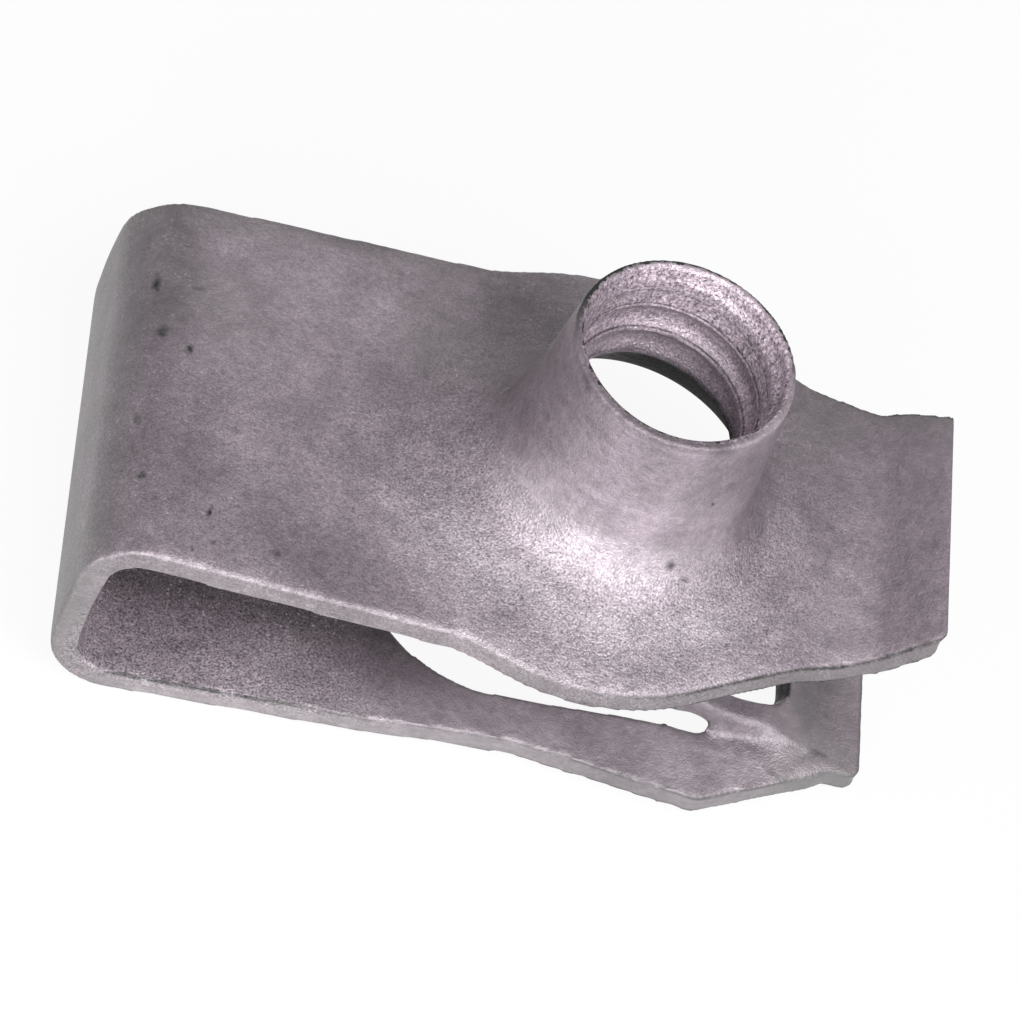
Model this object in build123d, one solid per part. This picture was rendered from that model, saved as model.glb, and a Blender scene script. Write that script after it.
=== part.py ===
from build123d import *
import os
from math import atan2, cos, pi, radians, sin, tan

# A u-nut for an M6 screw: one strip of spring steel, folded into a U that clips over the edge of
# a panel, with a threaded barrel drawn up out of the top leg and a forked tongue lanced up out of
# the lower leg. X runs from the fold to the tips, Y across the width, Z along the thread.
# Heights are counted from the top leg's upper face until the last step, which moves the origin to
# the thread's lower end, on its axis. Millimetres and degrees.
# A name that ends in _AT is a distance from the thread's axis towards the tips.

SHEET = 0.8                     # thickness of the steel

# Fold
FOLD_AT = -14.76                # outside of the fold
FOLD_BOW = 0.14                 # how far the back of the fold bulges between its corners
FOLD_BOW_RADIUS = 12.0
FOLD_HEIGHT = 6.8               # over both legs, where they leave the fold
FOLD_TOP_RADIUS = 1.8           # outer radius under the top leg
FOLD_LOW_RADIUS = 1.9           # outer radius above the lower leg
FOLD_HALF_WIDTH = 6.2

# Top leg
TOP_WAIST_AT = -4.2             # where the strip starts to widen beside the barrel
TOP_WAIST_HALF = 6.45
TOP_WAIST_RADIUS = 3.0
LOBE_AT = 0.3                   # where the slanted sides would meet
LOBE_HALF = 7.9
LOBE_RADIUS = 7.1
SHOULDER_AT = 5.8               # hollow corner between the lobe and the lip
SHOULDER_HALF = 5.0
SHOULDER_RADIUS = 2.5
RAMP_AT = 6.9                   # where the leg starts to lift towards the lip
RAMP_ANGLE = 15.0
RAMP_BEND_RADIUS = 2.4
LIP_AT = 7.85                   # where the lip bends up
LIP_REACH = 1.72                # measured flat
LIP_ANGLE = 41.5
LIP_BEND_RADIUS = 0.9
LIP_FOOT_HALF = 4.3
LIP_END_HALF = 3.98
LIP_CORNER_RADIUS = 0.3

# Lower leg
LOWER_RISE = 2.0                # slope up from the fold to the tip, in degrees
LOWER_NECK_AT = -7.0            # end of the taper that starts at the fold
LOWER_NECK_HALF = 5.98
LOWER_NECK_RADIUS = 6.0
LOWER_WAIST_AT = -0.8           # narrowest place
LOWER_WAIST_HALF = 5.7
LOWER_WAIST_RADIUS = 3.0
CORNER_AT = 4.6                 # pointed side corner
CORNER_HALF = 6.38
CORNER_RADIUS = 0.4
CHAMFER_END_HALF = 4.72         # where the slanted side meets the tab
TAB_AT = 8.1                    # crease across the leg
TAB_LENGTH = 1.35
TAB_DROP = 3.0                  # bend down from the leg, in degrees
TAB_BEND_RADIUS = 2.0
TAB_HALF_WIDTH = 4.42
TAB_CORNER_RADIUS = 0.4
NOTCH_RUN = 0.4                 # the step between the slanted side and the tab
NOTCH_RADIUS = 0.3

# Drawn barrel
THREAD_CREST_RADIUS = 2.5       # bore through the crests of the M6 thread
BARREL_HEIGHT = 6.3             # rim above the top leg
RIM_RADIUS = 3.22
RIM_LAND = 0.1                  # flat ring left on the rim
RIM_BEVEL_HEIGHT = 0.5          # inside the rim, down to the thread's crests
BARREL_DRAFT = 5.0              # the wall spreads towards the leg, in degrees
FLARE_RADIUS = 2.6              # sweep of the outer wall into the leg
WALL_THINNING = 0.42            # how far the sweep inside stands out from the one outside
THROAT_ANGLE = 12.0             # place on the sweep inside where the bore's lead-in ends

# Clearance opening and forked tongue in the lower leg
OPENING_AT = -1.6               # centre of the opening's round end
OPENING_RADIUS = 4.22
LANCE_HALF = 3.97               # from the centre line to each sheared line
LANCE_START_AT = 3.3
LANCE_END_AT = 6.65
SHEAR_GAP = 0.05
TONGUE_TIP_AT = 3.05
TONGUE_ROOT_ANGLE = 20.0        # rise from the crease, against the leg, in degrees
TONGUE_ROOT_LENGTH = 1.9
TONGUE_WAIST_ANGLE = 3.0
TONGUE_WAIST_LENGTH = 1.0
TONGUE_NECK_ANGLE = 23.0
TONGUE_NECK_LENGTH = 1.1
TONGUE_TIP_ANGLE = 9.0
TONGUE_BEND_RADIUS = 2.0
FORK_HALF = 3.0                 # half the space between the prongs
FORK_CORNER_RADIUS = 0.9
FORK_BRIDGE = 1.1               # metal left between the crease and the fork
PRONG_TIP_RADIUS = 0.35
FAIRING_AT = 7.0                # highest place of the metal pulled up beside the tongue's root
FAIRING_LENGTH = 1.5            # from there back along the sheared line
FAIRING_WIDTH = 1.2

CUT_PAST = 2.0                  # how far a cutting shape passes the metal


def turns(points):
    """Heading of each run and the turn at each corner of a chain of points."""
    pairs = list(zip(points, points[1:]))
    headings = [atan2(end[1] - start[1], end[0] - start[0]) for start, end in pairs]
    corners = [(b - a + pi) % (2 * pi) - pi for a, b in zip(headings, headings[1:])]
    return headings, corners


def left_side(points, distance):
    """The same chain moved to its left, with its corners mitred."""
    headings, corners = turns(points)
    halves = [0] + [corner / 2 for corner in corners] + [0]
    starts = headings + [headings[-1]]
    moved = []
    for (x, z), heading, half in zip(points, [headings[0]] + starts[:-1], halves):
        normal = heading + half + pi / 2
        reach = distance / cos(half)
        moved.append((x + reach * cos(normal), z + reach * sin(normal)))
    return moved


def bent_strip(points, radii, half_width):
    """Sheet whose one face follows a chain in XZ, with its thickness on the chain's left."""
    corners = turns(points)[1]
    far_points = left_side(points, SHEET)
    far_radii = [r - SHEET if turn > 0 else r + SHEET for r, turn in zip(radii, corners)]
    near = FilletPolyline(*points, radius=radii)
    far = FilletPolyline(*far_points, radius=far_radii)
    ends = [Line(points[0], far_points[0]), Line(points[-1], far_points[-1])]
    section = make_face(near.edges() + far.edges() + ends)
    return extrude(Plane.XZ * section, amount=half_width, both=True)


def mirrored_plan(half_points, radii):
    """Closed outline from one side's points, the same on both sides of the centre line."""
    other = [(x, -y) for x, y in reversed(half_points)]
    outline = FilletPolyline(*half_points, *other, radius=radii + radii[::-1], close=True)
    return make_face(outline.edges())


def polar(start, degrees, length):
    """Point at a length from a start, along a heading."""
    return (start[0] + length * cos(radians(degrees)), start[1] + length * sin(radians(degrees)))


def lower_face(x):
    """Height of the lower leg's underside at a distance from the axis."""
    return -FOLD_HEIGHT + (x - FOLD_AT) * tan(radians(LOWER_RISE))


def folded_strip():
    """The whole U before its sides are shaped, from the lip round the fold to the tab."""
    crease = (TAB_AT, lower_face(TAB_AT))
    lip_foot = (LIP_AT, (LIP_AT - RAMP_AT) * tan(radians(RAMP_ANGLE)))
    points = [
        polar(lip_foot, LIP_ANGLE, LIP_REACH / cos(radians(LIP_ANGLE))),
        lip_foot,
        (RAMP_AT, 0),
        (FOLD_AT + FOLD_BOW, 0),
        (FOLD_AT, -FOLD_HEIGHT / 2),
        (FOLD_AT + FOLD_BOW, lower_face(FOLD_AT)),
        crease,
        polar(crease, LOWER_RISE - TAB_DROP, TAB_LENGTH),
    ]
    radii = [
        LIP_BEND_RADIUS,
        RAMP_BEND_RADIUS,
        FOLD_TOP_RADIUS,
        FOLD_BOW_RADIUS,
        FOLD_LOW_RADIUS,
        TAB_BEND_RADIUS,
    ]
    widest = max(LOBE_HALF, CORNER_HALF) + CUT_PAST
    return bent_strip(points, radii, widest)


def top_plan():
    """Outline of the top leg seen from above."""
    lip_end = LIP_AT + LIP_REACH
    points = [
        (FOLD_AT - CUT_PAST, FOLD_HALF_WIDTH),
        (FOLD_AT + FOLD_TOP_RADIUS, FOLD_HALF_WIDTH),
        (TOP_WAIST_AT, TOP_WAIST_HALF),
        (LOBE_AT, LOBE_HALF),
        (SHOULDER_AT, SHOULDER_HALF),
        (LIP_AT, LIP_FOOT_HALF),
        (lip_end, LIP_END_HALF),
    ]
    radii = [0, 0, TOP_WAIST_RADIUS, LOBE_RADIUS, SHOULDER_RADIUS, 0, LIP_CORNER_RADIUS]
    return mirrored_plan(points, radii)


def lower_plan():
    """Outline of the lower leg seen from above."""
    tab_end = TAB_AT + TAB_LENGTH * cos(radians(LOWER_RISE - TAB_DROP))
    points = [
        (FOLD_AT - CUT_PAST, FOLD_HALF_WIDTH),
        (FOLD_AT + FOLD_LOW_RADIUS, FOLD_HALF_WIDTH),
        (LOWER_NECK_AT, LOWER_NECK_HALF),
        (LOWER_WAIST_AT, LOWER_WAIST_HALF),
        (CORNER_AT, CORNER_HALF),
        (TAB_AT, CHAMFER_END_HALF),
        (TAB_AT + NOTCH_RUN, TAB_HALF_WIDTH),
        (tab_end, TAB_HALF_WIDTH),
    ]
    radii = [
        0,
        0,
        LOWER_NECK_RADIUS,
        LOWER_WAIST_RADIUS,
        CORNER_RADIUS,
        NOTCH_RADIUS,
        NOTCH_RADIUS,
        TAB_CORNER_RADIUS,
    ]
    return mirrored_plan(points, radii)


def shaped_legs():
    """The folded strip with the two legs cut to their outlines."""
    strip = folded_strip()
    middle = -FOLD_HEIGHT / 2
    top_tool = extrude(Pos(0, 0, middle) * top_plan(), amount=FOLD_HEIGHT + BARREL_HEIGHT)
    lower_tool = extrude(Pos(0, 0, middle) * lower_plan(), amount=-FOLD_HEIGHT)
    return (strip & top_tool) + (strip & lower_tool)


def barrel_foot():
    """Radius at which the barrel's flare meets the flat leg."""
    draft = radians(BARREL_DRAFT)
    wall_end = FLARE_RADIUS * (1 - sin(draft))
    wall_radius = RIM_RADIUS + (BARREL_HEIGHT - wall_end) * tan(draft)
    return wall_radius + FLARE_RADIUS * cos(draft)


def throat():
    """Where the sweep inside the barrel gives way to the lead-in, as radius and height."""
    inner_radius = FLARE_RADIUS + SHEET
    turn = radians(THROAT_ANGLE)
    centre = barrel_foot() + WALL_THINNING
    return (centre - inner_radius * cos(turn), FLARE_RADIUS - inner_radius * sin(turn))


def thread_start():
    """Height of the thread's lower end, above a lead-in at 45 degrees."""
    radius, height = throat()
    return height + radius - THREAD_CREST_RADIUS


def barrel():
    """Wall drawn up out of the leg, with a plain bore at the thread's crests."""
    draft = radians(BARREL_DRAFT)
    foot = barrel_foot()
    wall_end = (foot - FLARE_RADIUS * cos(draft), FLARE_RADIUS * (1 - sin(draft)))
    land = (RIM_RADIUS - RIM_LAND, BARREL_HEIGHT)
    bore_top = (THREAD_CREST_RADIUS, BARREL_HEIGHT - RIM_BEVEL_HEIGHT)
    inner_foot = (foot + WALL_THINNING, -SHEET)
    wall = make_face([
        RadiusArc((foot, 0), wall_end, FLARE_RADIUS),
        Line(wall_end, (RIM_RADIUS, BARREL_HEIGHT)),
        Line((RIM_RADIUS, BARREL_HEIGHT), land),
        Line(land, bore_top),
        Line(bore_top, (THREAD_CREST_RADIUS, thread_start())),
        Line((THREAD_CREST_RADIUS, thread_start()), throat()),
        RadiusArc(throat(), inner_foot, -(FLARE_RADIUS + SHEET)),
        Line(inner_foot, (inner_foot[0], 0)),
        Line((inner_foot[0], 0), (foot, 0)),
    ])
    return revolve(Plane.XZ * wall, Axis.Z)


def opening():
    """Cutter for the clearance opening, with the space that the tongue was lanced from."""
    depth = 2 * SHEET + CUT_PAST
    round_end = Pos(OPENING_AT, 0) * Circle(OPENING_RADIUS)
    neck = Line((LANCE_START_AT, -LANCE_HALF), (LANCE_START_AT, LANCE_HALF))
    bay = Pos((LANCE_START_AT + TAB_AT) / 2, 0) * Rectangle(TAB_AT - LANCE_START_AT, 2 * LANCE_HALF)
    plan = make_hull(round_end.edges() + [neck]) + bay
    return extrude(Pos(0, 0, lower_face(0) - SHEET) * plan, amount=depth + SHEET)


def tongue_chain():
    """Upper face of the tab and the tongue in XZ, from the tab's end to the prongs' tips."""
    rise = radians(LOWER_RISE)
    crease = (TAB_AT - SHEET * sin(rise), lower_face(TAB_AT) + SHEET * cos(rise))
    back = 180 + LOWER_RISE
    first = polar(crease, back - TONGUE_ROOT_ANGLE, TONGUE_ROOT_LENGTH)
    second = polar(first, back - TONGUE_WAIST_ANGLE, TONGUE_WAIST_LENGTH)
    third = polar(second, back - TONGUE_NECK_ANGLE, TONGUE_NECK_LENGTH)
    tip_heading = back - TONGUE_TIP_ANGLE
    tip_length = (third[0] - TONGUE_TIP_AT) / -cos(radians(tip_heading))
    return [
        polar(crease, LOWER_RISE - TAB_DROP, TAB_LENGTH),
        crease,
        first,
        second,
        third,
        polar(third, tip_heading, tip_length),
    ]


def tongue():
    """Forked tongue, bent up from the tab as one strip and cut to its outline."""
    chain = tongue_chain()
    crease = chain[1]
    radii = [TAB_BEND_RADIUS] + [TONGUE_BEND_RADIUS] * (len(chain) - 3)
    strip = bent_strip(chain, radii, LANCE_HALF)
    slope = TONGUE_ROOT_ANGLE - LOWER_RISE
    root = Plane((crease[0], 0, crease[1]), x_dir=(-cos(radians(slope)), 0, sin(radians(slope))),
                 z_dir=(sin(radians(slope)), 0, cos(radians(slope))))
    tip = root.to_local_coords(Vector(chain[-1][0], 0, chain[-1][1])).X
    lance_end = (TAB_AT - LANCE_END_AT) / cos(radians(slope))
    side = LANCE_HALF - SHEAR_GAP
    half = [
        (-TAB_LENGTH - CUT_PAST, LANCE_HALF),
        (lance_end, LANCE_HALF),
        (lance_end, side),
        (tip, side),
        (tip, FORK_HALF),
        (FORK_BRIDGE, FORK_HALF),
    ]
    radii = [0, 0, 0, PRONG_TIP_RADIUS, PRONG_TIP_RADIUS, FORK_CORNER_RADIUS]
    outline = root * mirrored_plan(half, radii)
    return strip & extrude(outline, amount=FOLD_HEIGHT / 2, both=True)


def fairing(side):
    """Low pyramid on one side, where the leg is pulled up beside the tongue's root."""
    chain = tongue_chain()
    crease = chain[1]

    def leg(x):
        return crease[1] - (crease[0] - x) * tan(radians(LOWER_RISE))

    rise = (crease[0] - FAIRING_AT) * tan(radians(TONGUE_ROOT_ANGLE))
    inner = side * (LANCE_HALF - SHEAR_GAP)
    outer = side * (LANCE_HALF + FAIRING_WIDTH)
    middle = make_face(Polyline(
        (FAIRING_AT, inner, leg(FAIRING_AT)),
        (FAIRING_AT, inner, leg(FAIRING_AT) + rise),
        (FAIRING_AT, outer, leg(FAIRING_AT)),
        close=True,
    ))
    start = FAIRING_AT - FAIRING_LENGTH
    back = loft([Vertex(start, inner, leg(start)), middle])
    return back + loft([middle, Vertex(crease[0], inner, crease[1])])


def u_nut():
    """The finished nut, as one solid."""
    hole = Cylinder(barrel_foot() + WALL_THINNING, 2 * SHEET + CUT_PAST)
    body = shaped_legs() - hole + barrel() - opening()
    for side in (1, -1):
        wedge = fairing(side)
        body = body + wedge - Pos(0, 0, -SHEET) * wedge
    return body + tongue()


os.makedirs("parts", exist_ok=True)
nut = Pos(0, 0, -thread_start()) * u_nut()
nut.label = "u_nut"
export_step(nut, "parts/u_nut.step")
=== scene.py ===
import math

import bmesh
import bpy
import numpy as np
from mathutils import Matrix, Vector, noise
from mathutils.bvhtree import BVHTree
from mathutils.kdtree import KDTree


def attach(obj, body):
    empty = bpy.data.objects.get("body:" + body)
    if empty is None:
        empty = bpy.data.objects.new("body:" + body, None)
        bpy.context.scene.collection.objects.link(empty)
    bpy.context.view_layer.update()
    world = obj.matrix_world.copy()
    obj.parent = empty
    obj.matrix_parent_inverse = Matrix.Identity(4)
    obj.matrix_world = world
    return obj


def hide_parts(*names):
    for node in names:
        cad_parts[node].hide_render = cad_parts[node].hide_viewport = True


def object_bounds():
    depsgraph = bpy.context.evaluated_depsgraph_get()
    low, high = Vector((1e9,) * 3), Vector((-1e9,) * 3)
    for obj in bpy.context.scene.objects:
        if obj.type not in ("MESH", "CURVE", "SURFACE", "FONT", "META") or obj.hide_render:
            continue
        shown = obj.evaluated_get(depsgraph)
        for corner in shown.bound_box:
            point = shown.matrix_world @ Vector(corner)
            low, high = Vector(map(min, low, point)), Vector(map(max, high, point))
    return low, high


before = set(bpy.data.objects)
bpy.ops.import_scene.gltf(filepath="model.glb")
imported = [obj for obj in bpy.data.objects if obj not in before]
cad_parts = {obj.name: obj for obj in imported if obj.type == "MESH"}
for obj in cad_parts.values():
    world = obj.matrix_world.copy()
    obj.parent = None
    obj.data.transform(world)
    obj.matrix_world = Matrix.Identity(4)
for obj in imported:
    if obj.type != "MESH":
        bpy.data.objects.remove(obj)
cadLow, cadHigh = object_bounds()
print("frame loaded")

mm = 0.001


# the folded sheet, taken to a fine even mesh so that its edges can be eased and its thread cut

nutShape = {
    "cell": 0.088,            # mm, size of the fine mesh
    "edgeEase": 2,            # passes that round the cut edges
    "footEase": 22,           # passes that soften the tongues' feet
    "bendEase": 40,           # passes that even out the bends, away from the edges
    "edgeBand": 0.32,         # mm kept out of the bend passes
    "rollDepth": 0.05,        # mm, how far the shears pulled in the edges of the outer faces
    "rollWidth": 0.6,
    "droop": 0.16,            # mm, the lobes' edges hang this much lower
    "foldSpread": 0.25,       # mm, the fold is this much wider at its far end
    "tongueLift": 0.12,       # mm
    "legDrop": 5.2,           # mm, from the top leg's face down to the lower leg's at its crease
    "creaseAt": 8.1,          # mm from the barrel's axis
    "legRise": 2.0,           # degrees, slope of the lower leg up to its crease
    "legWidening": 0.09,      # mm on each side, from the lobes back to the fold
    "lipWidening": 0.24,      # mm, the top leg's far side between the lobe and the crease
    "footTail": 0.40,         # mm, height of the barrel's long foot at 5 mm from the axis
    "footEnd": 8.4,           # mm, where it has run out
    "unevenness": 0.012,      # mm, slow waves in the sheet
    "edgeWander": 0.02,       # mm, unevenness of the cut faces
    "triangles": 188000,
}

barrelShape = {
    "height": 6.3,            # mm, rim above the top leg
    "rimRadius": 3.22,
    "rimLand": 0.20,
    "rimPinch": 0.13,         # mm, the rim is this much thicker at the near side
    "bore": 2.47,
    # the bore widens to the rim: height, radius
    "taper": ((3.0, 2.47), (3.75, 2.51), (4.75, 2.69), (5.55, 2.74)),
    "draft": 5.0,             # degrees
    "sweep": 2.6,             # radius of the sweep outside
    "sheet": 0.8,
    "thinning": 0.42,
    "throat": 12.0,           # degrees
    "reach": 6.55,            # the barrel's part of the sheet ends at this radius
}

threadShape = {
    "pitch": 1.0,             # mm
    "depth": 0.30,            # of the full groove, mm
    "shallow": 0.07,          # of the groove near the rim
    "full": 2.0,              # mm below the rim, where the groove has its full depth
    "phase": 0.11,            # the crests are where height - turn + phase is whole
}


def smoothStep(low, high, x):
    t = np.clip((x - low) / (high - low), 0, 1)
    return t * t * (3 - 2 * t)


def readPoints(mesh):
    co = np.zeros(len(mesh.vertices) * 3)
    mesh.vertices.foreach_get("co", co)
    return co.reshape(-1, 3)


def writePoints(mesh, co):
    mesh.vertices.foreach_set("co", co.astype(np.float32).ravel())
    mesh.update()


def nutInMillimetres(source):
    bm = bmesh.new()
    bm.from_mesh(source.data)
    bmesh.ops.remove_doubles(bm, verts=bm.verts, dist=1e-7)
    bmesh.ops.scale(bm, vec=(1 / mm, 1 / mm, 1 / mm), verts=bm.verts)
    bmesh.ops.recalc_face_normals(bm, faces=bm.faces)
    bm.normal_update()
    return bm


def withModifier(mesh, kind, **settings):
    # runs one modifier on a mesh and gives back the result
    holder = bpy.data.objects.new("work", mesh)
    bpy.context.scene.collection.objects.link(holder)
    modifier = holder.modifiers.new("work", kind)
    for name, value in settings.items():
        setattr(modifier, name, value)
    depsgraph = bpy.context.evaluated_depsgraph_get()
    result = bpy.data.meshes.new_from_object(holder.evaluated_get(depsgraph))
    bpy.data.objects.remove(holder)
    return result


def ease(co, edges, passes, weight):
    # each pass moves a point halfway to the middle of its neighbours, times its weight
    count = np.bincount(edges.ravel(), minlength=len(co)).astype(float)
    for _ in range(passes):
        total = np.zeros_like(co)
        for axis in range(3):
            total[:, axis] += np.bincount(edges[:, 0], co[edges[:, 1], axis], len(co))
            total[:, axis] += np.bincount(edges[:, 1], co[edges[:, 0], axis], len(co))
        co = co + 0.5 * weight[:, None] * (total / count[:, None] - co)
    return co


def outerWall():
    # the wall's draft, the height where the sweep begins, and the radius where it ends on the leg
    s = barrelShape
    draft = math.radians(s["draft"])
    wallTop = s["sweep"] * (1 - math.sin(draft))
    foot = s["rimRadius"] + (s["height"] - wallTop) * math.tan(draft) + s["sweep"] * math.cos(draft)
    return draft, wallTop, foot


def barrelProfile():
    # radius and height of the barrel's section, from the outer foot over the rim to the inner foot
    s = barrelShape
    draft, _, foot = outerWall()
    line = [(s["reach"] + 1, 0)]
    for i in range(25):
        a = math.radians(90) - (math.radians(90) - draft) * i / 24
        line.append((foot - s["sweep"] * math.cos(a), s["sweep"] * (1 - math.sin(a))))
    land = s["rimRadius"] - s["rimLand"]
    line += [(s["rimRadius"], s["height"]), (land, s["height"])]
    line += [(radius, height) for height, radius in reversed(s["taper"])]
    inner = s["sweep"] + s["sheet"]
    throat = math.radians(s["throat"])
    innerFoot = foot + s["thinning"]
    neck = (innerFoot - inner * math.cos(throat), s["sweep"] - inner * math.sin(throat))
    line += [(s["bore"], neck[1] + neck[0] - s["bore"])]
    for i in range(25):
        a = throat + (math.radians(90) - throat) * i / 24
        line.append((innerFoot - inner * math.cos(a), s["sweep"] - inner * math.sin(a)))
    line.append((innerFoot + 1, -s["sheet"]))
    return np.array(line)


def nearestOnLine(points, line):
    best = np.full(len(points), 1e9)
    found = points.copy()
    for a, b in zip(line[:-1], line[1:]):
        d = b - a
        t = np.clip(((points - a) @ d) / (d @ d), 0, 1)
        q = a + t[:, None] * d
        gap = np.hypot(*(points - q).T)
        closer = gap < best
        best[closer] = gap[closer]
        found[closer] = q[closer]
    return found


def slowNoise(co, scale, seed):
    offset = Vector((seed * 7.3, seed * 3.1, seed * 5.7))
    return np.array([noise.noise(Vector(p) * scale + offset) for p in co])


def cutFaceOf(centre, normal, legTop):
    # 1 on the faces that the shears left, 0 on the sheet's own faces
    radius = math.hypot(centre.x, centre.y)
    height = centre.z - legTop
    if radius < barrelShape["reach"] and height > -0.79:
        return 1.0 if height > barrelShape["height"] - 0.02 else 0.0
    if centre.x < cadLow.x / mm + 2:
        return 1.0 if abs(normal.y) > 0.7 else 0.0
    return 1.0 if abs(normal.z) < 0.5 else 0.0


def isOuter(centre, normal, legTop):
    # the sheet's outer side: the top leg's upper face, round the fold, to the lower leg's underside
    low = cadLow.x / mm
    if centre.x < low + 1.9:
        away = Vector((centre.x - low - 1.9, 0, centre.z - legTop + 3.4))
        return abs(normal.y) < 0.5 and normal.dot(away) > 0
    if math.hypot(centre.x, centre.y) < 3.5:
        return False
    if centre.z > legTop - 0.3:
        return normal.z > 0.6
    return normal.z < -0.6 and centre.z < legTop - 5


def alongEdges(edges, faceTest=None):
    # points along some edges, with the normal of the face that passes the test
    points, normals = [], []
    for e in edges:
        passed = [f for f in e.link_faces if faceTest is None or faceTest(f)]
        if not passed:
            continue
        a, b = e.verts[0].co, e.verts[1].co
        steps = max(1, int((b - a).length / 0.05))
        points += [a.lerp(b, i / steps) for i in range(steps + 1)]
        normals += [passed[0].normal.copy()] * (steps + 1)
    tree = KDTree(len(points))
    for i, p in enumerate(points):
        tree.insert(p, i)
    tree.balance()
    return tree, normals


def cutThread(co, legTop):
    # sharp crests with round grooves between them, shallow near the rim
    s = threadShape
    radius = np.hypot(co[:, 0], co[:, 1])
    height = co[:, 2]
    top = legTop + barrelShape["height"]
    low = legTop + 1.2
    inside = (radius < 3.06) & (height > low) & (height < top + 0.03)
    turn = np.arctan2(co[:, 1], co[:, 0]) / (2 * math.pi)
    place = (height / s["pitch"] - turn + s["phase"]) % 1.0
    away = np.abs(2 * place - 1)           # 0 in the groove's middle, 1 at the crest's
    down = top - height
    depth = s["shallow"] + (s["depth"] - s["shallow"]) * smoothStep(s["full"] - 0.6, s["full"], down)
    depth = depth * smoothStep(0.1, 0.5, down)
    heights, radii = np.array(barrelShape["taper"]).T
    heights = np.append(heights, barrelShape["height"])
    radii = np.append(radii, barrelShape["rimRadius"] - barrelShape["rimLand"])
    groove = np.interp(height - legTop, heights, radii) + depth * (1 - away ** 2)
    nearSide = np.cos(2 * math.pi * turn + math.radians(100))
    pinch = barrelShape["rimPinch"] * smoothStep(0.1, 0.9, nearSide)
    pinch = pinch * smoothStep(1.4, 0.0, down) * smoothStep(3.1, 2.95, radius)
    wanted = np.maximum(radius, groove) - pinch
    factor = np.where(inside, wanted / np.maximum(radius, 1e-6), 1.0)
    co[:, 0] *= factor
    co[:, 1] *= factor
    return inside


def stretchFoot(co, legTop):
    # the barrel's foot runs out into the leg more slowly than its round sweep does
    s = nutShape
    radius = np.hypot(co[:, 0], co[:, 1])
    b = barrelShape
    foot = float(outerRadius(0.0))
    sweep = b["sweep"] - np.sqrt(b["sweep"] ** 2 - np.clip(foot - radius, 0, b["sweep"]) ** 2)
    tail = s["footTail"] * (np.clip(s["footEnd"] - radius, 0, 9) / (s["footEnd"] - 5)) ** 2
    rise = (tail - sweep + np.sqrt((tail - sweep) ** 2 + 0.006)) / 2
    rise = rise * smoothStep(s["footEnd"], s["footEnd"] - 1, radius) * smoothStep(3.9, 4.7, radius)
    co[:, 2] += rise * smoothStep(-1.3, -0.9, co[:, 2] - legTop)


def spreadFold(co, legTop):
    # bending squeezed the sheet out sideways, most at the far end of the fold
    down = legTop - co[:, 2]
    back = smoothStep(2.2, 0.6, co[:, 0] - cadLow.x / mm)
    share = smoothStep(3, 6.2, co[:, 1]) * smoothStep(0.5, 2.4, down) * smoothStep(6.6, 5.0, down)
    co[:, 1] += nutShape["foldSpread"] * share * back


def lowerFace(x, legTop):
    # height of the lower leg's upper face, which rises towards the crease
    s = nutShape
    return legTop - s["legDrop"] + (x - s["creaseAt"]) * math.tan(math.radians(s["legRise"]))


def liftTongue(co, legTop):
    leg = lowerFace(co[:, 0], legTop)
    share = smoothStep(8.0, 6.6, co[:, 0]) * (co[:, 0] > 2.9) * (np.abs(co[:, 1]) < 3.98)
    share = share * smoothStep(-0.7, 0.0, co[:, 2] - leg) * (co[:, 2] < legTop - 2)
    co[:, 2] += nutShape["tongueLift"] * share


def widenLegs(co, legTop):
    s = nutShape
    x, y = co[:, 0].copy(), co[:, 1].copy()
    side = np.sign(y) * smoothStep(3.5, 5.5, np.abs(y))
    side = side * np.where(y > 0, smoothStep(-13.9, -12.4, x), 1)
    co[:, 1] += s["legWidening"] * side * smoothStep(-3, -5, x)
    corner = smoothStep(2.5, 3.9, y) * smoothStep(5.2, 7.2, x) * smoothStep(9.5, 8.3, x)
    co[:, 1] += s["lipWidening"] * corner * (co[:, 2] > legTop - 1.5)


def outerRadius(height):
    # radius of the barrel's outside at a height above the leg
    s = barrelShape
    draft, wallTop, foot = outerWall()
    wall = s["rimRadius"] + (s["height"] - height) * math.tan(draft)
    rise = np.clip(1 - height / s["sweep"], -1, 1)
    return np.where(height > wallTop, wall, foot - s["sweep"] * np.sqrt(1 - rise ** 2))


def roundBarrel(co, legTop):
    # the barrel is brought to its true round section
    radius = np.hypot(co[:, 0], co[:, 1])
    zone = (radius < barrelShape["reach"]) & (co[:, 2] > legTop - 1.0)
    flat = np.stack([radius[zone], co[zone, 2] - legTop], 1)
    section = nearestOnLine(flat, barrelProfile())
    scale = section[:, 0] / np.maximum(radius[zone], 1e-6)
    co[zone, 0] *= scale
    co[zone, 1] *= scale
    co[zone, 2] = section[:, 1] + legTop
    return radius, zone


def easeFeet(co, edges, legTop):
    # the metal beside the tongues' feet is softer than the rest
    x, side = co[:, 0], np.abs(co[:, 1])
    foot = (side > 2.6) & (co[:, 2] < legTop - 3) & (co[:, 2] > lowerFace(x, legTop) - 0.2)
    foot = foot * smoothStep(3.4, 4.4, x) * smoothStep(8.8, 8.0, x) * smoothStep(5.4, 4.8, side)
    return ease(co, edges, nutShape["footEase"], foot)


def clearFeet(cutFace, co, legTop):
    # the feet's slopes are the sheet's own face, not a cut one
    x, side = co[:, 0], np.abs(co[:, 1])
    onFoot = (side > 2.6) & (side < 4.9) & (x > 3.6) & (x < 7.9)
    cutFace[onFoot & (co[:, 2] > lowerFace(x, legTop) - 0.1) & (co[:, 2] < legTop - 3)] = 0


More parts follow.
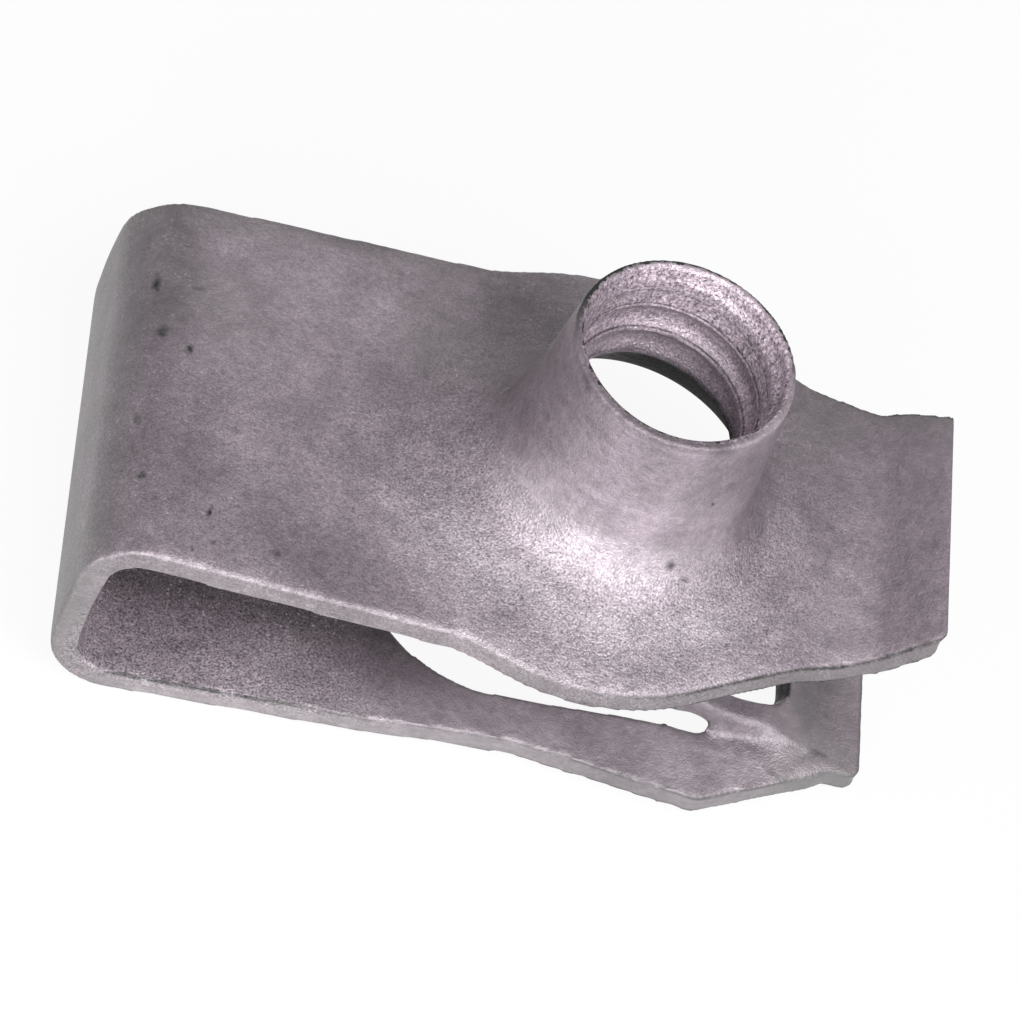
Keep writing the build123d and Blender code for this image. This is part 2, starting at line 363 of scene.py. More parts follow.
def rollEdges(co, outerTree, outerNormals):
    # the shears rolled the outer edges in
    found = [outerTree.find(p) for p in co]
    gap = np.array([f[2] for f in found])
    inwards = -np.array([outerNormals[f[1]] for f in found])
    roll = nutShape["rollDepth"] * np.clip(1 - gap / nutShape["rollWidth"], 0, 1) ** 2
    return co + inwards * roll[:, None]


def waveSheet(co, radius, legTop):
    # the lobes' edges droop and the sheet waves a little
    s = nutShape
    top = (co[:, 2] > legTop - 1.5) & (np.abs(co[:, 0]) < 5)
    hang = smoothStep(5.6, 7.4, np.abs(co[:, 1])) * top * np.clip(1 - (co[:, 0] / 5) ** 2, 0, 1)
    co[:, 2] -= s["droop"] * hang
    wave = slowNoise(co, 0.35, 1)
    co[:, 2] += s["unevenness"] * wave * (radius > 6)


def wanderCuts(mesh, co, cutFace, radius):
    # the cut faces wander in and out
    ragged = slowNoise(co, 1.6, 2) + 0.5 * slowNoise(co, 4.5, 3)
    inward = cutFace * np.clip(-np.abs(ragged), -1, 0) * nutShape["edgeWander"] * (radius > 3.4)
    writePoints(mesh, co)
    normals = np.zeros(len(co) * 3, np.float32)
    mesh.vertex_normals.foreach_get("vector", normals)
    return co + normals.reshape(-1, 3) * inward[:, None]


# how the coating varies from place to place, and where shade is painted into it
tones = {
    "foldShadow": 0.50,         # painted shadow deep inside the fold, under the top leg
    "rimShadeLeft": 0.30,          # painted shade on the rim's left
    "webShade": 0.22,          # painted shade on the fold's outside
    # painted shade on the fork's inner cut face
    "forkShade": 0.8,
    "edgeSoot": 0.8,
    # dark blotches along the bend, with painted shade where the bend turns away from the lamps
    "bendBlotchAndShade": 0.2,
    # greenish tint of painted shade on the fold's outside
    "webShadeTint": 0.9,
    # dull film in random patches, with painted shade towards the far side
    "backDullAndShade": 0.5,
    "tabDull": 0.6,
    "cutDull": 0.25,
    "darkest": 0.8,
}

# soft patches of painted shade and painted light: x, y, on the lower leg or not, half sizes in mm,
# amount
patches = {
    "shade": [
        (-13.4, 3.0, False, 1.0, 4.5, 0.42),
        (-13.4, -3.0, False, 0.9, 3.4, 0.28),
        (-3.3, 4.6, False, 1.8, 2.2, 0.34),
        (-4.9, 1.6, False, 1.3, 1.8, 0.22),
        (-6.0, 0.2, False, 0.9, 0.6, 0.26),
        (-8.7, 6.4, False, 1.6, 0.5, 0.30),
        (7.4, 4.6, False, 2.6, 1.8, 0.30),
        (6.0, 1.8, False, 2.0, 2.0, 0.20),
        (5.2, -3.9, True, 1.8, 0.8, 0.50),
        (6.6, 3.9, True, 2.4, 0.8, 0.20),
        (7.8, -1.8, True, 0.7, 1.6, 0.45),
        (-11.5, -4.5, False, 2.0, 1.6, 0.12),
        (-9.5, -5.6, False, 0.9, 0.5, 0.20),
        (3.6, -1.0, False, 0.9, 1.8, 0.12),
        (-5.0, -2.8, False, 1.1, 1.3, 0.20),
        (-3.1, -5.2, False, 1.2, 0.9, 0.20),
        (0.4, -6.3, False, 2.4, 0.7, 0.22),
        (-9.0, -4.8, False, 1.6, 1.3, 0.33),
        (-12.4, -2.6, False, 1.1, 3.0, 0.30),
        (-6.2, 0.8, False, 1.2, 1.2, 0.16),
        (1.2, -3.0, False, 1.0, 0.8, 0.20),
    ],
    "paintedLight": [
        # painted light and highlights: places made paler and brighter
        (1.5, -5.8, True, 7.0, 2.2, 0.9),
        (-7.0, -6.3, True, 6.0, 1.6, 0.9),
        (4.6, -5.4, True, 3.0, 2.0, 1.3),
        (7.6, -4.8, True, 1.8, 1.6, 0.3),
        (6.6, -3.4, False, 1.6, 2.2, 0.35),
        (-2.2, -2.9, False, 1.1, 1.0, 0.90),
        (-8.2, 4.1, False, 2.0, 1.4, 0.35),
        (5.0, -0.9, False, 0.9, 1.2, 0.30),
        (-7.5, -4.3, True, 1.8, 0.9, 0.80),
    ],
}


def patchTotal(spots, co, legTop):
    x, y, height = co[:, 0], co[:, 1], co[:, 2] - legTop
    total = np.zeros(len(co))
    edge = 0.25 * slowNoise(co, 0.8, 7)
    for atX, atY, onLower, halfX, halfY, amount in spots:
        away = np.hypot((x - atX) / halfX, (y - atY) / halfY) + edge
        level = (height < -3) if onLower else (height > -1.6) * smoothStep(3.8, 2.4, height)
        total = np.maximum(total, amount * smoothStep(1.5, 0.3, away) * level)
    return total


def coatingLayers(co, cutFace, edgeGap, legTop):
    # the amounts that the material reads, one for each point of the mesh
    radius = np.hypot(co[:, 0], co[:, 1])
    x, y = co[:, 0], co[:, 1]
    height = co[:, 2] - legTop
    fromWeb = x - cadLow.x / mm
    lower = height < -3
    lowerTop = lowerFace(x, legTop)
    farOut = radius > 3.4                  # everything but the barrel's inside

    insideBarrel = (radius < outerRadius(height) - 0.16) & (height > -0.7)
    # painted shade: the barrel's throat, deep inside, is darkened in the soot colour
    throat = insideBarrel * smoothStep(2.85, 2.55, height) * (0.55 + 0.45 * smoothStep(-2.2, 0.8, x))
    outside = ~insideBarrel & (radius < 4.8) & (height > 0)
    wall = smoothStep(4.6, 3.9, radius) * smoothStep(0.4, 2.2, height) * outside
    lip = smoothStep(0.55, 0.1, barrelShape["height"] - height) * outside
    # painted shade on the fork's inner cut face, which the lamps leave in shade
    fork = (np.abs(y) < 3.1) & (x > 6) & (x < 7.4) & lower & (cutFace > 0.5)
    # dark blotches along the bend, with painted shade where it turns away from the lamps
    bend = np.exp(-((fromWeb - 0.9) / 0.5) ** 2) * (height > -1.5)
    bend = bend * np.clip(slowNoise(co, 0.9, 6) + 0.4, 0, 1)
    # the fold's outside, which faces away from the lamps and takes painted shade
    web = smoothStep(0.95, 0.25, fromWeb)
    # random dull patches, more of them towards the far side, where they are painted shade
    back = smoothStep(0.2, 1.2, slowNoise(co, 0.25, 5) + 0.35 + 0.1 * y)
    back = back * (height > -0.9) * (radius > 3.1)
    inGap = lower * smoothStep(0.35, 0.6, fromWeb) * smoothStep(-0.5, -0.1, co[:, 2] - lowerTop)

    # grain and stretch: strongest at the barrel's foot and deep inside the fold
    stretched = np.where(
        lower,
        0.1 + smoothStep(-3, -7, x) * (0.25 + 0.65 * inGap),
        0.35 + 0.65 * smoothStep(9.0, 5.5, radius),
    )
    fine = np.where(
        lower,
        0.22 + smoothStep(-2, -8, x) * (0.5 + 0.6 * inGap),
        (0.6 + 0.4 * smoothStep(3, -2, y)) * (1 - 0.35 * smoothStep(4.5, 7, x)),
    )

    # edges: rubbed towards the fold and sooty towards the tip; painted shade darkens the edges and
    # the cut faces, more towards the tip
    wear = np.where(lower, 0.35 * smoothStep(-1, -6, x), 0.15 + 0.85 * smoothStep(0, -6, x))
    upperEdge = smoothStep(-4, -9, x) * smoothStep(-13.4, -12.4, x) * (co[:, 2] > lowerTop - 0.3)
    edgeSoot = np.where(lower, upperEdge, smoothStep(0, 4, x)) * smoothStep(0.12, 0.04, edgeGap)
    edgeSoot = edgeSoot * (radius > 3.6)
    awayFromFoot = np.maximum(smoothStep(4.5, 3, x), smoothStep(4.6, 5.2, np.abs(y)))
    awayFromFoot = np.maximum(awayFromFoot, smoothStep(7.6, 8.2, x))
    # painted shade along the edges, to dull the light on their rounded corners
    edgeLine = np.where(
        lower,
        (0.35 + 0.2 * smoothStep(-1, 3, x)) * awayFromFoot * smoothStep(-13.4, -12.4, x),
        0.2 * smoothStep(-6, -1, x),
    )
    cutShade = np.where(
        lower,
        0.08 + 0.12 * smoothStep(-9, -6, x) + 0.20 * smoothStep(-4, 3, x),
        0.40 * smoothStep(-6, 3, x),
    )

    t = tones
    # soot along the edges, with painted shade in the throat, on the fork and on the bend
    sootAndShade = throat + t["forkShade"] * fork + t["edgeSoot"] * edgeSoot + t["bendBlotchAndShade"] * bend
    # the green film also carries painted shade on the fold's outside and the far side
    greenFilmAndShade = t["webShadeTint"] * web + t["backDullAndShade"] * back + t["cutDull"] * cutFace * lower
    greenFilmAndShade = greenFilmAndShade + t["tabDull"] * lower * smoothStep(5.5, 7.5, x)

    # darker with painted shade: patches, cut faces, edges, the fold's outside, the upper wall's near
    # side, the inside of the fold and the rim
    shade = patchTotal(patches["shade"], co, legTop)
    paintedLight = patchTotal(patches["paintedLight"], co, legTop)
    cuts = cutShade * cutFace * farOut + t["webShade"] * web * (1 - cutFace)
    cuts += smoothStep(0.16, 0.04, edgeGap) * (radius > 3.6) * edgeLine
    # painted shade on the upper wall's near side, more towards the right
    wallShade = 0.04 + 0.17 * smoothStep(-1.0, 1.2, x)
    cuts += wall * smoothStep(2.6, 4.0, height) * wallShade * smoothStep(0, -1, y)
    # painted shadow of the top leg on the inside of the fold
    inFold = inGap * smoothStep(1.5, -3.5, x) * smoothStep(-4.6, -2.4, y)
    # painted shade on the rim's left
    onRim = smoothStep(-0.3, -0.1, height - barrelShape["height"]) * (radius < 3.4)
    onRim = onRim * smoothStep(0.2, -0.8, x + 0.6 * y)
    shade = shade + cuts + t["foldShadow"] * inFold + t["rimShadeLeft"] * onRim

    # painted highlight: a ring round the barrel's foot at the near side
    turn = np.degrees(np.arctan2(y, x))
    near = smoothStep(0.3, 0.8, np.cos(np.radians(turn + 100)))
    ring = smoothStep(3.2, 3.75, radius) * smoothStep(8.2, 6.7, radius)
    ring = ring * (1 - 0.42 * np.exp(-((radius - 4.5) / 0.35) ** 2))
    ring = ring * (1 + 0.4 * smoothStep(4.6, 5.1, radius) * smoothStep(6.4, 5.6, radius))
    ring = ring * (height > -0.75) * (radius > outerRadius(height) - 0.3)
    paintedLight = np.maximum(paintedLight, near * ring * (0.9 + 0.3 * slowNoise(co, 0.7, 8)))

    return {
        "bore": insideBarrel * smoothStep(2.6, 3.4, height),
        "lip": lip,
        "wall": wall,
        "cutFace": cutFace * farOut,
        "edgeWear": (1 - smoothStep(0.03, 0.13, edgeGap)) * farOut * wear,
        "fine": fine * (1 - 0.45 * wall),
        "stretched": stretched * (1 - 0.7 * wall),
        "sootAndShade": np.clip(sootAndShade, 0, 1),
        "greenFilmAndShade": np.clip(greenFilmAndShade, 0, 1),
        "shade": np.clip(shade, 0, t["darkest"]),
        "paintedLight": paintedLight,
    }


def buildNut(source):
    s = nutShape
    bm = nutInMillimetres(source)
    legTop = cadHigh.z / mm - barrelShape["height"]
    tree = BVHTree.FromBMesh(bm)
    kinds = [cutFaceOf(f.calc_center_median(), f.normal, legTop) for f in bm.faces]
    sharp = [e for e in bm.edges if len(e.link_faces) == 2 and e.calc_face_angle(0) > 0.6]
    edgeTree = alongEdges(sharp)[0]
    outerTree, outerNormals = alongEdges(
        sharp, lambda f: isOuter(f.calc_center_median(), f.normal, legTop)
    )
    welded = bpy.data.meshes.new("welded")
    bm.to_mesh(welded)
    bm.free()
    mesh = withModifier(welded, "REMESH", mode="VOXEL", voxel_size=s["cell"])
    print("fine mesh:", len(mesh.vertices), "points")

    co = readPoints(mesh)
    edges = np.zeros(len(mesh.edges) * 2, np.int64)
    mesh.edges.foreach_get("vertices", edges)
    edges = edges.reshape(-1, 2)
    edgeGap = np.array([edgeTree.find(p)[2] for p in co])
    cutFace = np.array([kinds[tree.find_nearest(Vector(p))[2]] for p in co])

    radius, zone = roundBarrel(co, legTop)
    away = smoothStep(0.5 * s["edgeBand"], s["edgeBand"], edgeGap)
    co = ease(co, edges, s["bendEase"], away * np.where(zone, 0.1, 1.0))
    co = easeFeet(co, edges, legTop)
    co = ease(co, edges, s["edgeEase"], np.where(radius < 3.4, 0.5, 1.0))
    clearFeet(cutFace, co, legTop)
    inside = cutThread(co, legTop)
    co = ease(co, edges, 1, inside * 0.6)
    print("edges eased and thread cut")

    co = rollEdges(co, outerTree, outerNormals)
    stretchFoot(co, legTop)
    spreadFold(co, legTop)
    liftTongue(co, legTop)
    widenLegs(co, legTop)
    waveSheet(co, radius, legTop)
    co = wanderCuts(mesh, co, cutFace, radius)
    boxLow, boxHigh = np.array(cadLow) / mm + 0.001, np.array(cadHigh) / mm - 0.001
    writePoints(mesh, np.clip(co, boxLow, boxHigh))
    print("sheet shaped")

    for name, amounts in coatingLayers(readPoints(mesh), cutFace, edgeGap, legTop).items():
        layer = mesh.attributes.new(name, "FLOAT", "POINT")
        layer.data.foreach_set("value", amounts.astype(np.float32))
    mesh.calc_loop_triangles()
    share = s["triangles"] / len(mesh.loop_triangles)
    if share < 1:
        mesh = withModifier(mesh, "DECIMATE", ratio=share)
    writePoints(mesh, np.clip(readPoints(mesh), boxLow, boxHigh) * mm)
    mesh.polygons.foreach_set("use_smooth", [True] * len(mesh.polygons))
    mesh.calc_loop_triangles()
    print("finished mesh:", len(mesh.loop_triangles), "triangles")
    nut = bpy.data.objects.new("coatedNut", mesh)
    bpy.context.scene.collection.objects.link(nut)
    return nut


# zinc flake coating: grey with a little purple, rough as fine leather where the sheet was stretched,
# with flakes painted in as glints, darker blotches, a few pits, soot, and shade painted into the
# hollows

coating = {
    "base": (0.250, 0.208, 0.238),
    "cutBase": (0.250, 0.218, 0.238),
    # colour of the painted light
    "paintedLightBase": (0.255, 0.230, 0.248),
    # colour of the painted glints and of the rubbed edges
    "glintAndWear": (0.62, 0.54, 0.60),
    # colour of soot and of the painted shade in the hollows
    "sootAndShade": (0.030, 0.032, 0.030),
    "greenFilmAndShade": (0.150, 0.155, 0.148),     # greenish film, also the tint of painted shade on the fold's outside and the far side
    "stroke": (0.150, 0.138, 0.145),
    "metallic": 0.35,
    "roughness": 0.41,
    "grainScale": 15000,               # the scales go from fine to wide
    "peelScale": 13500,
    "flakeScale": 11000,
    "boreScale": 10000,
    "coarseScale": 4200,
    "smudgeScale": 2200,
    "wrinkleScale": 1900,
    "mottleScale": 900,
    "pitScale": 420,
    "blotchScale": 230,
    "filmScale": 120,
    "grainHeight": 0.000030,
    "peelHeight": 0.000016,
    "boreGrain": 7.4,                  # how strongly the grain shows inside the barrel
    "boreLines": 1.1,
    "crestHighlight": 0.8,                       # painted highlight on the thread's crest
    "crestShadow": 0.88,                      # painted shadow line beside it
    "rimLine": (0.00003, 0.00012),     # least and most width of the dark line on the rim
}

# specks of soot, in colour only: place in mm from the thread's lower end, half sizes in mm, turn in
# degrees
marks = [
    ((-11.6, -4.4, -2.64), (0.05, 0.17, 0.3), -12),
    ((-11.4, -5.4, -2.64), (0.05, 0.06, 0.3), 0),
    ((-7.5, -3.2, -2.64), (0.05, 0.07, 0.3), 0),
    ((-12.6, 3.2, -2.64), (0.16, 0.07, 0.3), 10),
    ((-13.5, 1.5, -2.80), (0.14, 0.16, 0.3), 0),
    ((-12.7, 1.0, -2.64), (0.10, 0.13, 0.3), 0),
    ((-13.8, 3.2, -2.90), (0.10, 0.30, 0.4), 0),
    ((-13.9, -1.6, -2.95), (0.07, 0.14, 0.4), 20),
    ((-13.6, -3.6, -2.80), (0.12, 0.12, 0.4), 0),
    ((-12.0, -5.8, -2.64), (0.07, 0.08, 0.3), 0),
    ((-9.6, -5.3, -2.64), (0.12, 0.10, 0.3), 0),
    ((1.35, -3.6, -1.2), (0.12, 0.12, 0.14), 30),
    ((1.95, -3.6, -1.65), (0.07, 0.05, 0.1), 0),
    ((1.75, -2.95, 1.1), (0.22, 0.05, 0.1), -35),
    ((3.75, -0.6, -1.0), (0.05, 0.12, 0.12), 0),
    ((4.65, -4.2, -2.64), (0.06, 0.12, 0.3), 10),
    ((1.2, -5.9, -2.64), (0.10, 0.05, 0.3), 25),
    ((4.8, -4.0, -7.65), (0.14, 0.12, 0.14), 0),
]


def coatingMaterial():
    s = coating
    material = bpy.data.materials.new("zincFlake")
    material.use_nodes = True
    nodes = material.node_tree.nodes
    links = material.node_tree.links
    shader = nodes["Principled BSDF"]
    shader.inputs["Metallic"].default_value = s["metallic"]
    place = nodes.new("ShaderNodeTexCoord").outputs["Object"]

    def noiseNode(scale, detail, rough=0.5, distortion=0.0, vector=place):
        node = nodes.new("ShaderNodeTexNoise")
        node.inputs["Scale"].default_value = scale
        node.inputs["Detail"].default_value = detail
        node.inputs["Roughness"].default_value = rough
        node.inputs["Distortion"].default_value = distortion
        links.new(vector, node.inputs["Vector"])
        return node

    def cells(scale, vector):
        node = nodes.new("ShaderNodeTexVoronoi")
        node.inputs["Scale"].default_value = scale
        links.new(vector, node.inputs["Vector"])
        return node.outputs["Distance"]

    def remap(value, fromLow, fromHigh, low, high):
        node = nodes.new("ShaderNodeMapRange")
        node.inputs["From Min"].default_value = fromLow
        node.inputs["From Max"].default_value = fromHigh
        node.inputs["To Min"].default_value = low
        node.inputs["To Max"].default_value = high
        links.new(value, node.inputs["Value"])
        return node.outputs["Result"]

    def fill(sockets, values):
        for socket, value in zip(sockets, values):
            if isinstance(value, (int, float)):
                socket.default_value = value
            elif isinstance(value, tuple):
                socket.default_value = value[:3] if socket.type == "VECTOR" else (*value, 1)
            else:
                links.new(value, socket)

    def calc(operation, a, b=0.0, c=0.0):
        node = nodes.new("ShaderNodeMath")
        node.operation = operation
        fill(node.inputs, (a, b, c))
        return node.outputs[0]

    def times(a, b):
        return calc("MULTIPLY", a, b)

    def plus(a, b):
        return calc("ADD", a, b)

    def minus(a, b):
        return calc("SUBTRACT", a, b)

    def distance(a, b):
        return calc("ABSOLUTE", minus(a, b))

    def vectorCalc(operation, a, b=(0.0, 0.0, 0.0)):
        node = nodes.new("ShaderNodeVectorMath")
        node.operation = operation
        fill(node.inputs, (a, b))
        return node.outputs["Value"] if operation == "LENGTH" else node.outputs["Vector"]

    def mixColour(factor, a, b, blend="MIX"):
        node = nodes.new("ShaderNodeMix")
        node.data_type = "RGBA"
        node.blend_type = blend
        fill((node.inputs[0], node.inputs[6], node.inputs[7]), (factor, a, b))
        return node.outputs[2]

    def darken(colour, value):
        grey = nodes.new("ShaderNodeCombineColor")
        fill(grey.inputs[:3], (value, value, value))
        return mixColour(1.0, colour, grey.outputs["Color"], "MULTIPLY")

    def shaken(scale, detail, rough, reach):
        # an uneven shift of the place, up to about half of reach
        shift = noiseNode(scale, detail, rough).outputs["Color"]
        shift = vectorCalc("SCALE", vectorCalc("SUBTRACT", shift, (0.5, 0.5, 0.5)))
        shift.node.inputs["Scale"].default_value = reach
        return vectorCalc("ADD", place, shift)

    def attribute(name):
        node = nodes.new("ShaderNodeAttribute")
        node.attribute_name = name
        return node.outputs["Fac"]

    # noises from fine to wide
    grain = noiseNode(s["grainScale"], 2, 0.6).outputs["Fac"]
    coarse = noiseNode(s["coarseScale"], 3, 0.6).outputs["Fac"]
    smudge = noiseNode(s["smudgeScale"], 4, 0.65, 0.8).outputs["Fac"]
    mottle = noiseNode(s["mottleScale"], 4, 0.6, 0.3).outputs["Fac"]
    blotch = noiseNode(s["blotchScale"], 4, 0.55, 0.6).outputs["Fac"]
    film = noiseNode(s["filmScale"], 3, 0.5, 0.4).outputs["Fac"]

    # stretched sheet has a skin like fine leather: small domes with dark creases between them
    peel = cells(s["peelScale"], shaken(5200, 2, 0.5, 0.00016))
    stretched = attribute("stretched")

    colour = mixColour(attribute("cutFace"), s["base"], s["cutBase"])
    # painted highlight: where the painted light lies, the colour turns paler and more neutral
    colour = mixColour(times(attribute("paintedLight"), 0.5), colour, s["paintedLightBase"])
    fine = attribute("fine")
    contrast = times(plus(times(stretched, 1.7), 1.1), fine)
    shade = plus(times(minus(grain, 0.5), contrast), 1.0)
    shade = times(shade, remap(mottle, 0.3, 0.7, 0.86, 1.14))
    shade = times(shade, remap(smudge, 0.3, 0.7, 0.86, 1.14))
    shade = times(shade, remap(blotch, 0.3, 0.7, 0.84, 1.16))
    shade = times(shade, remap(coarse, 0.3, 0.7, 0.88, 1.12))
    crease = times(remap(peel, 0.35, 0.8, 0.0, 0.12), stretched)
    # short dark wrinkles
    fold = distance(noiseNode(s["wrinkleScale"], 3, 0.6, 0.5).outputs["Fac"], 0.5)
    wrinkle = times(remap(fold, 0.0, 0.012, 0.4, 0.0), remap(mottle, 0.5, 0.62, 0.0, 1.0))
    crease = plus(crease, times(wrinkle, stretched))
    shade = times(shade, minus(1.0, crease))
    # painted light: brightens the colour by up to 55 % where it lies
    paintedLight = attribute("paintedLight")
    shade = times(shade, plus(times(paintedLight, 0.55), 1.0))
    # painted shade from the mesh's shade layer
    shade = times(shade, minus(1.0, attribute("shade")))
    colour = darken(colour, shade)
    # green film, partly painted shade
    filmed = times(attribute("greenFilmAndShade"), remap(film, 0.35, 0.65, 0.25, 0.75))
    colour = mixColour(filmed, colour, s["greenFilmAndShade"])

    # round the barrel: the height and the turn give the thread's helix
    split = nodes.new("ShaderNodeSeparateXYZ")
    links.new(place, split.inputs[0])
    turnAt = calc("DIVIDE", calc("ARCTAN2", split.outputs["Y"], split.outputs["X"]), 2 * math.pi)
    along = minus(calc("DIVIDE", split.outputs["Z"], threadShape["pitch"] * mm), turnAt)
    along = plus(plus(along, threadShape["phase"]), remap(film, 0.3, 0.7, -0.02, 0.02))
    fromCrest = calc("PINGPONG", along, 0.5)
    angle = times(along, 2 * math.pi)
    ring = nodes.new("ShaderNodeCombineXYZ")
    fill(ring.inputs, (calc("COSINE", angle), calc("SINE", angle), times(turnAt, 1.5)))
    lines = noiseNode(2.6, 3, 0.6, 0.0, ring.outputs[0]).outputs["Fac"]
    streak = nodes.new("ShaderNodeCombineXYZ")
    fill(streak.inputs, (times(turnAt, 9.0), times(split.outputs["Z"], 2600.0), 0.0))
    streaks = noiseNode(1.0, 3, 0.5, 0.2, streak.outputs[0]).outputs["Fac"]
    bore = attribute("bore")
    upper = remap(split.outputs["Z"], 0.0012, 0.0022, 0.25, 1.0)
    boreGrain = noiseNode(s["boreScale"], 2, 0.7).outputs["Fac"]
    boreTone = times(minus(boreGrain, 0.43), times(upper, s["boreGrain"]))
    boreTone = plus(boreTone, times(minus(lines, 0.2), s["boreLines"]))
    boreTone = times(boreTone, bore)
    wallTone = times(minus(streaks, 0.5), times(attribute("wall"), 0.5))
    band = plus(plus(boreTone, wallTone), 1.0)
    band = plus(band, times(attribute("lip"), remap(mottle, 0.35, 0.6, 0.0, 0.35)))
    # painted highlight along each crest of the thread, and a painted shadow line beside it
    crestLineMask = times(bore, remap(split.outputs["Z"], 0.0024, 0.0028, 1.0, 0.2))
    crestLineMask = times(crestLineMask, remap(coarse, 0.35, 0.55, 0.3, 1.0))
    crestHighlight = times(crestLineMask, remap(fromCrest, 0.03, 0.055, s["crestHighlight"], 0.0))
    crestShadow = times(crestLineMask, remap(distance(fromCrest, 0.08), 0.0, 0.035, s["crestShadow"], 0.0))
    band = times(plus(band, crestHighlight), minus(1.0, crestShadow))
    # painted shade under each crest and painted light above the next one, most of all deep down
    inTurn = calc("FRACT", along)
    threaded = times(bore, remap(split.outputs["Z"], 0.0020, 0.0026, 1.0, 0.0))
    under = times(threaded, remap(distance(inTurn, 0.84), 0.0, 0.15, 0.38, 0.0))
    above = times(threaded, remap(distance(inTurn, 0.25), 0.0, 0.28, 0.45, 0.0))
    above = times(above, remap(split.outputs["Z"], 0.0004, 0.0014, 1.9, 0.4))
    band = times(band, plus(minus(1.0, under), above))
    # one more soft line of painted shade between the first crest and the rim
    soft = remap(distance(along, 2.6), 0.0, 0.07, 0.4, 0.0)
    band = times(band, minus(1.0, times(soft, bore)))
    colour = darken(colour, calc("MAXIMUM", band, 0.1))

    # painted glints: flakes that would catch the light are painted paler, and the rubbed edges
    paintedGlint = remap(noiseNode(s["flakeScale"], 1, 0.5).outputs["Fac"], 0.62, 0.74, 0.0, 0.7)
    paintedGlint = times(paintedGlint, remap(mottle, 0.42, 0.6, 0.2, 1.0))
    paintedGlint = times(paintedGlint, times(plus(times(stretched, 0.7), 0.3), fine))
    colour = mixColour(paintedGlint, colour, s["glintAndWear"])
    rubbed = times(attribute("edgeWear"), remap(coarse, 0.45, 0.62, 0.0, 0.22))
    colour = mixColour(rubbed, colour, s["glintAndWear"])

    # the shears left fine strokes on the cut faces
    stroke = vectorCalc("MULTIPLY", place, (1500.0, 1500.0, 14000.0))
    strokes = noiseNode(1.0, 3, 0.6, 0.3, stroke).outputs["Fac"]
    strokes = times(remap(strokes, 0.3, 0.7, 0.4, -0.05), attribute("cutFace"))
    colour = mixColour(calc("MAXIMUM", strokes, 0.0), colour, s["stroke"])

    # soot and painted shade, with ragged edges
    stirred = shaken(5200, 3, 0.6, 0.00022)
    dirtAndShade = times(attribute("sootAndShade"), remap(coarse, 0.35, 0.6, 1.25, 1.0))
    # a thin broken dark line on the rim: outside at the far side, inside at the near one
    rimAt = vectorCalc("LENGTH", vectorCalc("MULTIPLY", stirred, (1.0, 1.0, 0.0)))
    below = minus(split.outputs["Z"], cadHigh.z)
    farSide = remap(split.outputs["Y"], -0.0010, 0.0012, 0.0, 1.0)
    nearSide = remap(split.outputs["Y"], 0.0020, 0.0, 0.0, 1.0)
    inner = barrelShape["rimRadius"] - barrelShape["rimLand"] - barrelShape["rimPinch"]
    for lineRadius, side in ((barrelShape["rimRadius"] - 0.02, farSide), (inner, nearSide)):
        aside = minus(rimAt, lineRadius * mm)
        offLine = calc("SQRT", plus(times(aside, aside), times(below, below)))
        width = remap(coarse, 0.4, 0.65, *s["rimLine"])
        width = times(width, remap(split.outputs["X"], -0.0030, -0.0018, 1.9, 1.0))
        line = times(calc("LESS_THAN", offLine, width), side)
        dirtAndShade = calc("MAXIMUM", dirtAndShade, times(line, 0.95))
    broken = remap(smudge, 0.40, 0.58, 1.0, 0.45)
    for centre, half, turn in marks:
        spin = nodes.new("ShaderNodeVectorRotate")
        spin.rotation_type = "Z_AXIS"
        spin.inputs["Angle"].default_value = math.radians(-turn)
        fromCentre = vectorCalc("SUBTRACT", stirred, tuple(v * mm for v in centre))
        links.new(fromCentre, spin.inputs["Vector"])
        shrunk = vectorCalc("MULTIPLY", spin.outputs["Vector"], tuple(1 / (v * mm) for v in half))
        spot = remap(vectorCalc("LENGTH", shrunk), 0.4, 1.8, 1.0, 0.0)
        dirtAndShade = calc("MAXIMUM", dirtAndShade, times(spot, broken))
    pit = remap(cells(s["pitScale"], stirred), 0.03, 0.07, 0.7, 0.0)
    dirtAndShade = calc("MAXIMUM", dirtAndShade, times(pit, remap(mottle, 0.45, 0.6, 0.0, 1.0)))
    colour = mixColour(dirtAndShade, colour, s["sootAndShade"])
    links.new(colour, shader.inputs["Base Color"])

    rough = remap(grain, 0.3, 0.7, s["roughness"] + 0.08, s["roughness"] - 0.10)
    links.new(plus(rough, times(dirtAndShade, 0.25)), shader.inputs["Roughness"])
    links.new(remap(dirtAndShade, 0.3, 1.0, s["metallic"], 1.0), shader.inputs["Metallic"])

    normal = None
    domes = times(peel, times(stretched, -1.0))
    for height, depth, strength in (
        (mottle, 0.00006, 0.45),
        (domes, s["peelHeight"], 0.6),
        (plus(grain, times(coarse, 1.2)), s["grainHeight"], 0.8),
    ):
        bump = nodes.new("ShaderNodeBump")
        bump.inputs["Strength"].default_value = strength
        bump.inputs["Distance"].default_value = depth
        links.new(height, bump.inputs["Height"])
        if normal:
            links.new(normal, bump.inputs["Normal"])
        normal = bump.outputs["Normal"]
    links.new(normal, shader.inputs["Normal"])
    return material


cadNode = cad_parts["u_nut"]
nut = buildNut(cadNode)
nut.data.materials.append(coatingMaterial())
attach(nut, "root")
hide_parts("u_nut")
print("nut built")


# floor, lights and camera

studio = {
    "floorHalf": 0.6,
    "floorWhite": 0.92,       # how much of the floor's white stays in the shadow
    "ambient": 0.04,
    "cameraAt": (-0.040813, -0.111682, 0.139837),
    "cameraTurn": (35.619, -17.516, 3.793),
    "lens": 230.3,
}

